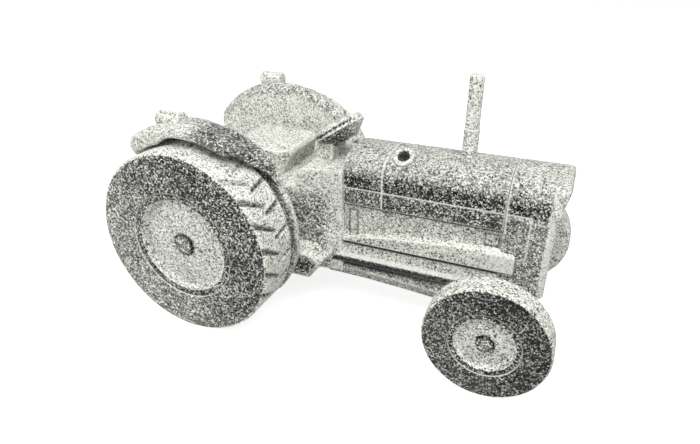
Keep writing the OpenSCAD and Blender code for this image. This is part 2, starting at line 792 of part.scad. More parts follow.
// A wheel's dished disc with a bevelled rim, an inner boss and a counterbored hole for its pin
module wheel_disc(bead_r, dish, w, boss_r, boss_l, pin_r, head_r) difference() {
    rim_r = bead_r - fit;
    slope_r = rim_r - rim_bevel;
    rotate_extrude() polygon([
        [0, -dish], [slope_r - dish + 2 * rim_inset, -dish], [slope_r, -rim_inset], [rim_r, -rim_inset],
        [rim_r, -w + disc_inset], [boss_r, -w + disc_inset], [boss_r, -w - boss_l], [0, -w - boss_l]
    ]);
    translate([0, 0, -w - boss_l - 1]) cylinder(r = pin_r + pin_gap, h = w + boss_l);
    translate([0, 0, -dish - head_seat]) cylinder(r = head_r + head_gap, h = far);
}
rear_boss_l = rear_face_y - rear_tyre_w - trumpet_end_y - seat_gap;
module rear_disc() wheel_disc(
    rear_bead_r, rear_dish, rear_tyre_w, rear_boss_r, rear_boss_l, rear_pin_r, rear_head_r
);
module disc_rear_left() color(sawn) on_left_axle(rear_x, rear_face_y, rear_wheel_r) rear_disc();
module disc_rear_right() color(sawn) on_right_axle(rear_x, rear_face_y, rear_wheel_r) rear_disc();

front_boss_l = hub_gap - seat_gap;
module front_disc() wheel_disc(
    front_bead_r, front_dish, front_tyre_w, front_boss_r, front_boss_l, front_pin_r, front_head_r
);
module disc_front_left() color(sawn) on_left_axle(front_x, front_face_y, front_wheel_r) front_disc();
module disc_front_right() color(sawn) on_right_axle(front_x, front_face_y, front_wheel_r) front_disc();

// An axle pin: a shank through the wheel and a round head that keeps the wheel on
module axle_pin(dish, length, pin_r, head_r) {
    floor_z = -dish - head_seat + seat_gap;
    translate([0, 0, floor_z]) cylinder(r = head_r, h = head_seat + head_proud - seat_gap);
    translate([0, 0, -length]) cylinder(r = pin_r, h = length + floor_z);
}
rear_pin_l = rear_face_y - pin_root_y - 1;
module rear_pin() axle_pin(rear_dish, rear_pin_l, rear_pin_r, rear_head_r);
module pin_rear_left() color(polished) on_left_axle(rear_x, rear_face_y, rear_wheel_r) rear_pin();
module pin_rear_right() color(polished) on_right_axle(rear_x, rear_face_y, rear_wheel_r) rear_pin();

front_pin_l = front_face_y - beam_end_y + front_pin_root - 1;
module front_pin() axle_pin(front_dish, front_pin_l, front_pin_r, front_head_r);
module pin_front_left() color(polished) on_left_axle(front_x, front_face_y, front_wheel_r) front_pin();
module pin_front_right() color(polished) on_right_axle(front_x, front_face_y, front_wheel_r) front_pin();

engine_block();
gearbox();
rear_axle();
bonnet();
nose();
grille();
scuttle();
front_axle();
axle_bracket();
fender_left();
fender_right();
lamp_left();
lamp_right();
seat();
steering_column();
steering_wheel();
exhaust_sleeve();
exhaust_pipe();
filler_boss();
footplate_left();
footplate_right();
pin_rear_left();
pin_rear_right();
pin_front_left();
pin_front_right();
tyre_rear_left();
tyre_rear_right();
tyre_front_left();
tyre_front_right();
disc_rear_left();
disc_rear_right();
disc_front_left();
disc_front_right();
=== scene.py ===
# Looks of a carved granite model tractor: softened stone pieces, speckled granite and a white studio
import json
import math

import bmesh
import bpy
import numpy as np
from mathutils import Matrix, Vector


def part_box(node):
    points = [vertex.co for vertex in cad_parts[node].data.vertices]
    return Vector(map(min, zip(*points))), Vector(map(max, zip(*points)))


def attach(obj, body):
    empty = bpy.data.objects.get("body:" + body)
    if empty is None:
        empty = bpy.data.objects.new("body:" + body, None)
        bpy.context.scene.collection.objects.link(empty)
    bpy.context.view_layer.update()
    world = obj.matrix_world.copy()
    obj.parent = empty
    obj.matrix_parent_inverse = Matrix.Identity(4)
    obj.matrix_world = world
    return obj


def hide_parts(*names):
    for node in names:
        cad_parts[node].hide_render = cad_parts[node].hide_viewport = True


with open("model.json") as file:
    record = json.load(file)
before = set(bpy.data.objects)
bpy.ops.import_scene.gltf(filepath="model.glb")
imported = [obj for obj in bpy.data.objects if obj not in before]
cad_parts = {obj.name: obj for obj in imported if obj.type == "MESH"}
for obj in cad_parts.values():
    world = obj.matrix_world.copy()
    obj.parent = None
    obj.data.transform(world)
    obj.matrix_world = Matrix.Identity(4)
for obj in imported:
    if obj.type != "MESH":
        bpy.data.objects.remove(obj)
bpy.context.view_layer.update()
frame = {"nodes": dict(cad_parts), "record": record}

MM = 0.001
SIDES = {"left": 1, "right": -1}
scene = bpy.context.scene
scene.view_settings.view_transform = "Standard"


# Places on the nodes, in mm: x forward of the rear axle, y off the middle and z up

def span(node, axis):
    """The lowest and highest place of a node along an axis, from the frame's origin."""
    low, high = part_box(node)
    return low[axis] / MM, high[axis] / MM


REAR_X = sum(span("tyre_rear_right", 0)) / 2
REAR_Z = sum(span("tyre_rear_right", 2)) / 2
BONNET_LOW, BONNET_TOP = span("bonnet", 2)
BONNET_REAR, NOSE_REAR = (v - REAR_X for v in span("bonnet", 0))
NOSE_LOW = span("nose", 2)[0]
GRILLE_X = span("grille", 0)[1] - REAR_X
FENDER_IN, FENDER_OUT = span("fender_left", 1)
FENDER_REAR = span("fender_left", 0)[0] - REAR_X


# Bonnet and nose, in mm. A pair of numbers is where a smooth step starts and ends

FLANK_LINE = BONNET_LOW + 28
TOP_FADE = (FLANK_LINE + 14, FLANK_LINE + 36)
REAR_ARCH = BONNET_REAR + 64.1
NOSE_JOINT = NOSE_REAR + 1.1
LINE_END = NOSE_REAR + 36
LINE_REACH = 0.95
NOSE_DROP = 8


# Engine and gearbox, in mm

UPPER_SLOT = 129
LOWER_SLOT = 92
# Height of the painted highlight on the lower rail's edge
LOWER_HIGHLIGHT = 107
UPPER_RAIL_FOOT = 131
LOWER_RAIL_FOOT = 102
SUMP_TOP = 86
RAIL_OUT = 58
SLOT_OUT = 45
RAIL_RUN = 32
SUMP_FLARE = 0.10
SUMP_DROP = 12
PANEL_LOW = 140
PAD_REACH = 1.5
SQUARE_PAD = (NOSE_REAR - 24, NOSE_REAR - 4, 169, 188)
ARCH_PAD = (BONNET_REAR + 10, BONNET_REAR + 24, PANEL_LOW, 186)
HOLLOW_BACK = (BONNET_REAR - 10, BONNET_REAR - 45)
HOLLOW_TOP = (226, 190)
FOOT_TOP = 125
FOOT_IN = 80
MELT_OUT = (50, 66)
MELT_TOP = (215, 180)
MELT_BACK = (60, 90)
MELT_FOOT = (108, 128)


# Fenders, in mm and degrees

ARCH_RADIUS = 150
FENDER_SKIN = (157, 167)
CREST = 90
REAR_CORNER = 54
ROLL_START = (124, 136)
ROLL_RADIUS = 166
ROLL_HALF = 13
END_START = 100
END_CURVE = 5


# Fenders' places off the middle, named OUT, and the lift, angle or share at each of them

ROLL_OUT = (124, 145, 165)
ROLL_LIFT = (-5, 0, 8)
ROLL_REAR_LIFT = (4, 1, 2)
END_OUT = (134, 150, 170, 186)
END_ANGLE = (142, 137, 129, 121)
SLOPE_OUT = (124, 150, 172)
SLOPE_LIFT = (1, -2, -3)
SLOPE_FORE_LIFT = (0, -3, -6)
EARLY_OUT = (120, 150, 172, 186)
EARLY_SHARE = (1, 0.82, 0.62, 0.52)


# Lamps, steering wheel and filler, in mm

LAMP_FOOT = 5
STEER_X = BONNET_REAR - 33
STEER_Z = 297
STEER_LEAN = math.radians(33)
STEER_TILT = 0.10
STEER_RISE = 2
STEER_BOWL = 0.24
FILLER_X, FILLER_Y, FILLER_Z = 293, -36, 275
FILLER_LEAN = math.radians(40)
FILLER_BORE = 9


# Smooth noise, the same on every run

LATTICE_SIZE = 24
LATTICE = np.random.default_rng(11).random((LATTICE_SIZE, LATTICE_SIZE, LATTICE_SIZE)) * 2 - 1


def smooth_noise(points, size):
    """Value noise from -1 to 1 at points, with features about size metres across."""
    place = points / size
    cell = np.floor(place).astype(int)
    part = place - cell
    part = part * part * (3 - 2 * part)
    total = np.zeros(len(points))
    for corner in np.ndindex(2, 2, 2):
        weight = np.prod(np.where(corner, part, 1 - part), axis=1)
        i, j, k = ((cell + corner) % LATTICE_SIZE).T
        total += weight * LATTICE[i, j, k]
    return total


def ramp(value, low, high):
    """0 at low, 1 at high and a smooth step between; low may be the greater."""
    t = np.clip((value - low) / (high - low), 0, 1)
    return t * t * (3 - 2 * t)


def blend(low, high, share):
    return low + (high - low) * share


# Meshes as arrays

RELAX_IN, RELAX_OUT = 0.5, -0.52
UNEVEN = 0.30 * MM
UNEVEN_SIZE = 26 * MM


def mesh_arrays(mesh):
    """Vertex places, vertex normals and edges of a mesh."""
    co = np.empty(len(mesh.vertices) * 3)
    mesh.vertices.foreach_get("co", co)
    normal = np.empty(len(mesh.vertices) * 3, np.float32)
    mesh.vertex_normals.foreach_get("vector", normal)
    edges = np.empty(len(mesh.edges) * 2, np.int32)
    mesh.edges.foreach_get("vertices", edges)
    return co.reshape(-1, 3), normal.reshape(-1, 3).astype(float), edges.reshape(-1, 2)


def relax(co, edges, rounds, strength=RELAX_IN):
    """Moves each point towards the middle of its neighbours, or away from it if strength is below 0."""
    a, b = edges.T
    count = len(co)
    degree = np.maximum(np.bincount(a, minlength=count) + np.bincount(b, minlength=count), 1)
    co = co.copy()
    for _ in range(rounds):
        for axis in range(3):
            total = np.bincount(a, co[b, axis], count) + np.bincount(b, co[a, axis], count)
            co[:, axis] += strength * (total / degree - co[:, axis])
    return co


def soften(co, edges, rounds):
    """Rounds the edges of a mesh and keeps its size, by relaxing it in and then out."""
    for _ in range(rounds):
        co = relax(co, edges, 1, RELAX_IN)
        co = relax(co, edges, 1, RELAX_OUT)
    return co


def roughen(mesh):
    """Makes a surface a little uneven, as left by hand tools."""
    co, normal, _ = mesh_arrays(mesh)
    co += normal * (UNEVEN * smooth_noise(co, UNEVEN_SIZE))[:, None]
    mesh.vertices.foreach_set("co", co.ravel())
    mesh.update()
    return co, normal


def put(mesh, name, values):
    """Stores one number for each vertex."""
    layer = mesh.attributes.new(name, "FLOAT", "POINT")
    layer.data.foreach_set("value", np.clip(values, 0, 1).astype(np.float32))


# Pieces and the nodes that they stand for

def new_piece(name, data):
    piece = bpy.data.objects.new(name, data)
    scene.collection.objects.link(piece)
    return piece


def body_of(node):
    for body, members in frame["record"]["behaviour"]["bodies"].items():
        if node in members:
            return body


def settle(piece, nodes, material):
    """Gives a finished piece its material and its body, and hides the nodes that it stands for."""
    piece.data.materials.clear()
    piece.data.materials.append(material)
    piece.data.polygons.foreach_set("use_smooth", [True] * len(piece.data.polygons))
    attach(piece, body_of(nodes[0]))
    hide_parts(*nodes)


# Granite: crystals for each metre, and stops of place, grey and warmth

GRAIN = 540
FINE_GRAIN = 1150
FINE_SHARE = 0.20
WARP = 1.6
DRIFT = 0.24
RAGGED = 0.24
SAWN_STOPS = (
    (0.0, 0.04, 0.06), (0.15, 0.30, 0.08), (0.28, 0.70, 0.08), (0.46, 0.94, 0.08), (0.74, 0.99, 0.06),
)
POLISHED_STOPS = (
    (0.0, 0.002, 0.0), (0.40, 0.012, 0.05), (0.54, 0.07, 0.07), (0.65, 0.22, 0.07), (0.75, 0.45, 0.07),
    (0.84, 0.92, 0.07),
)


def node_maker(owner):
    """A function that adds shader nodes to a material or a world, and its links."""
    nodes = owner.node_tree.nodes
    links = owner.node_tree.links

    def make(kind, *inputs, **settings):
        """Adds a node, sets its properties and fills its inputs in order with values or other sockets."""
        node = nodes.new("ShaderNode" + kind)
        for key, value in settings.items():
            setattr(node, key, value)
        for socket, value in zip(node.inputs, inputs):
            if isinstance(value, bpy.types.NodeSocket):
                links.new(value, socket)
            elif value is not None:
                socket.default_value = value
        return node

    return make, links


def grey(value, warm=0.0):
    """A grey with a share of its blue left out."""
    return (value, value, value * (1 - warm), 1)


def steps(make, factor, stops):
    """A colour ramp without blending: each stop holds from its place to the next."""
    node = make("ValToRGB", factor)
    node.color_ramp.interpolation = "CONSTANT"
    elements = node.color_ramp.elements
    while len(elements) < len(stops):
        elements.new(0.5)
    for element, (place, value, warm) in zip(elements, stops):
        element.position = place
        element.color = grey(value, warm)
    return node.outputs["Color"]


def crystals(make, place):
    """A chance value for each crystal: warped cells of two sizes, with a slow drift through the stone."""
    wobble = make("TexNoise", place, None, GRAIN * 0.9, 1.0)
    offset = make("VectorMath", wobble.outputs["Color"], (0.5, 0.5, 0.5), operation="SUBTRACT").outputs[0]
    shift = make("VectorMath", offset, operation="SCALE")
    shift.inputs["Scale"].default_value = WARP / GRAIN
    warped = make("VectorMath", place, shift.outputs[0], operation="ADD").outputs[0]
    big = make("TexVoronoi", warped, None, GRAIN).outputs["Color"]
    small = make("TexVoronoi", warped, None, FINE_GRAIN).outputs["Color"]
    chance = make("SeparateColor", big).outputs[0]
    chance_small = make("SeparateColor", small).outputs[1]
    both = make("Math", chance_small, FINE_SHARE, operation="MULTIPLY").outputs[0]
    both = make("Math", chance, 1 - FINE_SHARE, both, operation="MULTIPLY_ADD").outputs[0]
    drift = make("TexNoise", place, None, 26.0, 2.0).outputs["Fac"]
    both = make("Math", drift, DRIFT, both, operation="MULTIPLY_ADD").outputs[0]
    return make("Math", both, DRIFT / 2, operation="SUBTRACT").outputs[0]


def saw_marks(make, links, place, colour):
    """Fine upright marks through sawn stone."""
    stretch = make("VectorMath", place, (420.0, 420.0, 30.0), operation="MULTIPLY").outputs[0]
    marks = make("TexNoise", stretch, None, 1.0, 2.0).outputs["Fac"]
    marks = make("MapRange", marks, 0.3, 0.7, 0.86, 1.05).outputs[0]
    scored = make("VectorMath", colour, operation="SCALE")
    links.new(marks, scored.inputs["Scale"])
    return scored.outputs[0]


def granite(name):
    """Stone that each vertex's finish makes dark and polished or pale, its white attribute white where
    lines are cut, edges are worn or highlights are painted, and its dark attribute near black where shade
    is painted or a dark film lies on polish. The finish also paints some light and shade.
    """
    material = bpy.data.materials.new(name)
    material.use_nodes = True
    material.node_tree.nodes.clear()
    make, links = node_maker(material)

    def mix(factor, a, b):
        """Two colours mixed; a mix node's colours are its inputs 6 and 7 and its output 2."""
        node = make("Mix", data_type="RGBA")
        links.new(factor, node.inputs["Factor"])
        for socket, value in ((node.inputs[6], a), (node.inputs[7], b)):
            if isinstance(value, bpy.types.NodeSocket):
                links.new(value, socket)
            else:
                socket.default_value = value
        return node.outputs[2]

    place = make("TexCoord").outputs["Object"]
    finish = make("Attribute", attribute_name="finish").outputs["Fac"]
    chalk_and_painted_highlight = make("Attribute", attribute_name="chalk_and_painted_highlight").outputs["Fac"]
    painted_shade_and_film = make("Attribute", attribute_name="painted_shade_and_film").outputs["Fac"]
    chance = crystals(make, place)
    sawn = steps(make, chance, SAWN_STOPS)

    # The polish ends unevenly, and has more pale crystals near its end
    ragged = make("TexNoise", place, None, 60.0, 3.0).outputs["Fac"]
    spread = make("Math", ragged, RAGGED, finish, operation="MULTIPLY_ADD").outputs[0]
    spread = make("Math", spread, RAGGED / 2, operation="SUBTRACT", use_clamp=True).outputs[0]
    pale_share = make("Math", spread, 0.25, chance, operation="MULTIPLY_ADD").outputs[0]
    polished = steps(make, pale_share, POLISHED_STOPS)
    sawn_share = make("Math", spread, 1.6, operation="POWER").outputs[0]
    colour = mix(sawn_share, polished, saw_marks(make, links, place, sawn))
    # White where lines are cut, edges are worn and highlights are painted
    colour = mix(chalk_and_painted_highlight, colour, grey(0.93, 0.06))
    # Near black where shade is painted in slots, grooves, bores and under overhangs, and where a dark film
    # lies on polish
    colour = mix(painted_shade_and_film, colour, grey(0.012))

    # Pale stone is rough and pitted
    pale = make("Math", spread, chalk_and_painted_highlight, operation="MAXIMUM").outputs[0]
    roughness = make("MapRange", pale, 0.0, 1.0, 0.28, 0.85).outputs[0]
    pits = make("TexNoise", place, None, 700.0, 2.0).outputs["Fac"]
    height = make("Math", pits, pale, operation="MULTIPLY").outputs[0]
    bump = make("Bump", 0.35, 0.0006)
    links.new(height, bump.inputs["Height"])
    shader = make("BsdfPrincipled")
    shader.inputs["Specular IOR Level"].default_value = 0.12
    links.new(colour, shader.inputs["Base Color"])
    links.new(roughness, shader.inputs["Roughness"])
    links.new(bump.outputs[0], shader.inputs["Normal"])
    out = make("OutputMaterial")
    links.new(shader.outputs[0], out.inputs["Surface"])
    return material


stone = granite("granite")


# Carved pieces: a node's own shape with its edges worn round and its faces a little uneven

WELD_REACH = 0.01
EDGE_REACH = 8
EDGE_BULGE = (0.15, 0.5)
MELT_ROUNDS = 40


def plain(x, y, z, normal):
    return np.zeros(len(x))


def even(value):
    return lambda x, y, z, normal: np.full(len(x), value)


def in_mm(co):
    """Places in mm, with x forward of the rear axle, y off the middle and z up."""
    return (co / MM - [REAR_X, 0, 0]).T


def joined(nodes):
    """One mesh of some nodes' faces."""
    co, faces, start = [], [], 0
    for node in nodes:
        source = frame["nodes"][node].data
        co += [v.co[:] for v in source.vertices]
        faces += [[start + i for i in p.vertices] for p in source.polygons]
        start = len(co)
    mesh = bpy.data.meshes.new("rough")
    mesh.from_pydata(co, [], faces)
    return mesh


def carve(nodes, voxel, rounds, finish, lines_and_painted_highlights=plain, painted_shade_and_film=plain, wear=0.4, shape=None, melt=None):
    """One stone piece in the shape of some nodes.

    finish says how far each place is from polish, 0, to sawn, 1; the next function says where white lines
    are cut and where highlights are painted white, and the one after it where shade is painted dark in
    slots, bores and under overhangs. All are given places in mm and normals. wear is how white the worn
    edges are, shape moves places as given, and melt says where forms run into each other."""
    rough = joined(nodes)
    piece = new_piece("stone_" + nodes[0], rough)
    weld = piece.modifiers.new("weld", "WELD")
    weld.merge_threshold = WELD_REACH * MM
    remesh = piece.modifiers.new("remesh", "REMESH")
    remesh.mode = "VOXEL"
    remesh.voxel_size = voxel * MM
    mesh = bpy.data.meshes.new_from_object(piece.evaluated_get(bpy.context.evaluated_depsgraph_get()))
    piece.modifiers.clear()
    piece.data = mesh
    bpy.data.meshes.remove(rough)

    co, _, edges = mesh_arrays(mesh)
    if shape:
        co = (np.stack(shape(*in_mm(co)), 1) + [REAR_X, 0, 0]) * MM
    if melt:
        co += (relax(co, edges, MELT_ROUNDS) - co) * melt(*in_mm(co))[:, None]
    co = soften(co, edges, rounds)
    mesh.vertices.foreach_set("co", co.ravel())
    mesh.update()
    co, normal, edges = mesh_arrays(mesh)
    bulge = np.einsum("ij,ij->i", co - relax(co, edges, EDGE_REACH), normal) / MM
    co, normal = roughen(mesh)
    x, y, z = in_mm(co)
    put(mesh, "finish", finish(x, y, z, normal))
    put(mesh, "chalk_and_painted_highlight", np.maximum(lines_and_painted_highlights(x, y, z, normal), wear * ramp(bulge, *EDGE_BULGE)))
    put(mesh, "painted_shade_and_film", painted_shade_and_film(x, y, z, normal))
    settle(piece, nodes, stone)


# Bonnet and nose

def line(distance, reach=LINE_REACH):
    """Nearly 1 on a cut line and 0 beyond its reach."""
    return 0.9 * ramp(np.abs(distance), reach + 0.8, reach - 0.6)


def flank_finish(z, upper, lower, low):
    """Dark polish in a band above the flank line, duller above and below it."""
    above = blend(low, upper, ramp(z, *TOP_FADE))
    return blend(above, lower, ramp(z, FLANK_LINE + 1, FLANK_LINE - 1))


def side_share(normal):
    """1 on a flank and 0 on the top."""
    return ramp(np.abs(normal[:, 1]), 0.45, 0.75)


def top_painted_shade(x, y, z, normal):
    """Painted shade that darkens the top of the bonnet and the nose a little, where the lamps light it
    most.
    """
    return 0.18 * ramp(z, *TOP_FADE)


def bonnet_finish(x, y, z, normal):
    return blend(0.70, flank_finish(z, 0.58, 0.16, 0.0), side_share(normal))


def bonnet_lines(x, y, z, normal):
    """The flank line and the arch over the bonnet's rear."""
    flank = line(z - FLANK_LINE) * (np.abs(normal[:, 1]) > 0.4)
    return np.maximum(flank, line(x - REAR_ARCH)) * (np.abs(normal[:, 0]) < 0.9)


def nose_finish(x, y, z, normal):
    top = blend(0.70, 0.78, ramp(x, NOSE_REAR, NOSE_REAR + 70))
    value = blend(top, flank_finish(z, 0.60, 0.43, 0.0), side_share(normal))
    value = np.maximum(value, 0.85 * ramp(normal[:, 0], 0.25, 0.55))
    return np.maximum(value, 0.95 * ramp(x, GRILLE_X - 11, GRILLE_X - 7))


def nose_lines(x, y, z, normal):
    """The flank line to its end, a short line down from there, the front edge and the joint."""
    side = np.abs(normal[:, 1]) > 0.4
    flank = line(z - FLANK_LINE) * side * (x < LINE_END)
    short = line(x - LINE_END + 1, 1.2) * side * (z < FLANK_LINE) * (z > NOSE_LOW + 50) * 0.7
    edge = 0.4 * ramp(x, GRILLE_X - 9, GRILLE_X - 7) * (z < FLANK_LINE)
    joint = line(x - NOSE_JOINT) * (z > BONNET_LOW - 2)
    return np.maximum(np.maximum(np.maximum(flank, short), edge), joint)


def nose_shape(x, y, z):
    """The nose's foot reaches down behind the front wheels."""
    return x, y, z - NOSE_DROP * ramp(z, NOSE_LOW + 40, NOSE_LOW)


def nose_melt(x, y, z):
    """The visor's tip is worn round."""
    return ramp(x, GRILLE_X - 14, GRILLE_X + 4) * ramp(z, BONNET_TOP - 45, BONNET_TOP - 25)


# Engine and gearbox

def engine_finish(x, y, z, normal):
    """From the top down: the flank and the upper rail, the lower rail, the slot under it and the sump. The
    slot's band is painted dark as shade, and faces on the rails that look up are painted pale as
    highlights.
    """
    out = np.abs(y)
    forward = ramp(x, BONNET_REAR, NOSE_REAR)
    value = np.full(len(x), 0.74)
    value = np.where((z > UPPER_RAIL_FOOT) & (out > RAIL_OUT), blend(0.70, 0.98, forward), value)
    value = np.where(z < UPPER_RAIL_FOOT, 0.84, value)
    # Painted shade: dark on the band under the lower rail
    value = np.where(z < LOWER_RAIL_FOOT, 0.12, value)
    value = np.where(z < SUMP_TOP, 0.55, value)
    # Painted highlight: pale where the faces on the rails look up
    return np.maximum(value, ramp(normal[:, 2], 0.35, 0.7) * (out > RAIL_OUT - 1) * (z > LOWER_RAIL_FOOT))


def frame_line(x, z, low_x, high_x, low_z, high_z):
    """The outline of a rectangle."""
    off = np.maximum(np.maximum(low_x - x, x - high_x), np.maximum(low_z - z, z - high_z))
    return line(off, PAD_REACH)


def pad_lines(x, y, z, normal):
    """Outlines of the two shallow pads on each flank."""
    panel = (z > PANEL_LOW) & (z < BONNET_LOW - 3) & (np.abs(normal[:, 1]) > 0.3)
    return np.maximum(frame_line(x, z, *SQUARE_PAD), frame_line(x, z, *ARCH_PAD)) * panel


def engine_painted_shade(x, y, z, normal):
    """Painted shade: dark in the two slots, in the shadow line under the bonnet's lower edge and along the
    pads' outlines.
    """
    slot = 0.95 * ramp(np.abs(z - UPPER_SLOT), 4.2, 2.4)
    low_slot = 0.85 * ramp(np.abs(z - LOWER_SLOT), 11, 7)
    low_slot = low_slot * blend(1, 0.6, ramp(x, BONNET_REAR + 60, NOSE_REAR))
    joint = 0.75 * ramp(z, BONNET_LOW - 5, BONNET_LOW - 3)
    pads = 0.7 * pad_lines(x, y, z, normal)
    return np.maximum(np.maximum(np.maximum(slot, low_slot), joint) * (np.abs(y) > SLOT_OUT), pads)


def engine_highlight_and_end(x, y, z, normal):
    """A painted highlight along the outer edge of the lower rail, and a paler front end of the upper rail.
    """
    edge = 0.75 * ramp(np.abs(z - LOWER_HIGHLIGHT), 5, 2.5) * (np.abs(y) > RAIL_OUT - 3)
    end = 0.5 * ramp(x, NOSE_REAR - 34, NOSE_REAR - 6) * (np.abs(y) > RAIL_OUT) * (z > UPPER_SLOT)
    return np.maximum(edge, end)


def engine_shape(x, y, z):
    """The lower rail and the sump run on under the gearbox, and the sump is full at its foot."""
    back = ramp(x, BONNET_REAR + RAIL_RUN * 1.5, BONNET_REAR) * ramp(z, UPPER_SLOT, UPPER_SLOT - 6)
    low = ramp(z, LOWER_SLOT - 4, LOWER_SLOT - 16)
    drop = SUMP_DROP * low * ramp(x, BONNET_REAR, NOSE_REAR)
    return x - RAIL_RUN * back, y * (1 + SUMP_FLARE * low), z - drop


def gearbox_finish(x, y, z, normal):
    """Sawn, with dull polish in the flank's hollow, dark there as painted shade, and dark polish on the
    footplates' edges.
    """
    # Darker in the flank's hollow: painted shade
    value = blend(0.86, 0.32, ramp(x, *HOLLOW_BACK) * ramp(z, *HOLLOW_TOP))
    value = np.where((z < FOOT_TOP) & (np.abs(y) > FOOT_IN), 0.10, value)
    return np.maximum(value, 0.95 * ramp(normal[:, 2], 0.3, 0.7))


def gearbox_melt(x, y, z):
    """The flank's bulge and the footplate run into each other."""
    return ramp(np.abs(y), *MELT_OUT) * ramp(z, *MELT_TOP) * ramp(x, *MELT_BACK) * ramp(z, *MELT_FOOT)


# Fenders and lamps

def about_axle(x, z):
    """Radius and angle in degrees about the rear axle, from straight ahead over the top."""
    return np.hypot(x, z - REAR_Z), np.degrees(np.arctan2(z - REAR_Z, x))


def near_fender(radius, angle, out):
    """Right fender: the outer edge is a thick roll with a round rear end, higher than the crest."""
    rear = ramp(angle, 78, 97)
    low_lift = blend(7 * ramp(out, 150, 168), -1.5, ramp(angle, 94, 112))
    high_lift = np.interp(out, ROLL_OUT, ROLL_LIFT) + rear * np.interp(out, ROLL_OUT, ROLL_REAR_LIFT)
    new_radius = radius + blend(low_lift, high_lift, ramp(radius, *FENDER_SKIN))
    corner = np.maximum(out - FENDER_OUT + REAR_CORNER, 0)
    end_x = FENDER_REAR + REAR_CORNER - np.sqrt(np.maximum(REAR_CORNER ** 2 - corner ** 2, 0))
    end = np.degrees(np.arccos(np.clip(end_x / radius, -1, 0)))
    round_end = np.interp(out, END_OUT, END_ANGLE)
    round_end = round_end - END_CURVE * np.clip((new_radius - ROLL_RADIUS) / ROLL_HALF, -1.2, 1.2) ** 2
    new_end = blend(end, round_end, ramp(out, *ROLL_START))
    squeezed = END_START + (angle - END_START) * (new_end - END_START) / np.maximum(end - END_START, 1)
    return new_radius, np.where(angle > END_START, squeezed, angle)


def far_fender(radius, angle, out):
    """Left fender: the skin slopes off to the front, where its outer edge ends early."""
    fore = ramp(angle, 100, 78)
    low_lift = -2 * fore * ramp(out, 150, 170)
    high_lift = np.interp(out, SLOPE_OUT, SLOPE_LIFT) + fore * np.interp(out, SLOPE_OUT, SLOPE_FORE_LIFT)
    new_radius = radius + blend(low_lift, high_lift, ramp(radius, *FENDER_SKIN))
    share = np.interp(out, EARLY_OUT, EARLY_SHARE)
    return new_radius, np.where(angle < CREST, CREST - (CREST - angle) * share, angle)


def fender_shape(x, y, z):
    """Neither fender is quite the other's mirror image."""
    radius, angle = about_axle(x, z)
    carved = near_fender if y.mean() < 0 else far_fender
    new_radius, new_angle = carved(radius, angle, np.abs(y))
    over = radius > ARCH_RADIUS
    radius = np.where(over, new_radius, radius)
    angle = np.radians(np.where(over, new_angle, angle))
    return radius * np.cos(angle), y, REAR_Z + radius * np.sin(angle)


def fender_finish(x, y, z, normal):
    """The right skin is polished towards the front and the left one is honed. The right roll is paler
    towards the rear, both honed and painted light on its outward face. The inner plate is pale. The
    underside is painted dark in front as shade, and pale behind as painted light over its shadow."""
    out = np.abs(y)
    radius, _ = about_axle(x, z)
    middle = blend(0.16, 0.60, ramp(x, 35, -15))
    # The right roll: honed and painted light, paler towards the rear
    roll = blend(0.16, 0.8, ramp(x, 45, 0))
    skin = np.where(y < 0, blend(middle, roll, ramp(out, 158, 166)), 0.62)
    plate = blend(0.92, 0.60, ramp(radius, 158, 166))
    inner = ramp(out, FENDER_IN + 14, FENDER_IN + 7)
    # Underside: painted shade in front, painted light behind
    under = ramp(normal[:, 2], -0.1, -0.5) * ramp(out, FENDER_IN + 20, FENDER_IN + 26)
    return blend(blend(skin, plate, inner), blend(0.05, 0.95, ramp(x, 50, 0)), under)


def lamp_shape(x, y, z):
    """The lamp's foot reaches down to the carved fender."""
    return x, y, z - LAMP_FOOT * ramp(z, z.mean(), z.min())


# Seat, steering wheel and filler

def seat_finish(x, y, z, normal):
    # Faces that look forward are darker: painted shade on the seat's front
    return blend(0.98, 0.60, ramp(normal[:, 0], 0.3, 0.7))


def steering_shape(x, y, z):
    """The wheel's underside is a full bowl, and its right edge stands a little high."""
    height = (z - STEER_Z) * math.cos(STEER_LEAN) - (x - STEER_X) * math.sin(STEER_LEAN)
    grow = STEER_BOWL * ramp(height, -2, -10)
    foot_x = STEER_X - height * math.sin(STEER_LEAN)
    foot_z = STEER_Z + height * math.cos(STEER_LEAN)
    return x + (x - foot_x) * grow, y * (1 + grow), z + (z - foot_z) * grow - STEER_TILT * y + STEER_RISE


def steering_finish(x, y, z, normal):
    """Pale on top; dark polished stone underneath towards the rear, which paints the shade under the
    wheel.
    """
    facing = normal[:, 2] * math.cos(STEER_LEAN) - normal[:, 0] * math.sin(STEER_LEAN)
    under = blend(0.0, 0.80, ramp(x + 0.4 * y, STEER_X - 4, STEER_X + 42))
    return blend(under, 0.85, ramp(facing, 0.0, 0.4))


def filler_off(x, y, z):
    """How far a place is from the filler's own axle."""
    across = (y - FILLER_Y) * math.cos(FILLER_LEAN) + (z - FILLER_Z) * math.sin(FILLER_LEAN)
    return np.hypot(x - FILLER_X, across)


def filler_lines(x, y, z, normal):
    return 0.3 * ramp(filler_off(x, y, z), FILLER_BORE + 1, FILLER_BORE + 3)


# Painted shade: the filler's bore is dark
def filler_bore_shade(x, y, z, normal):
    return 0.75 * ramp(filler_off(x, y, z), FILLER_BORE + 0.8, FILLER_BORE - 0.2)


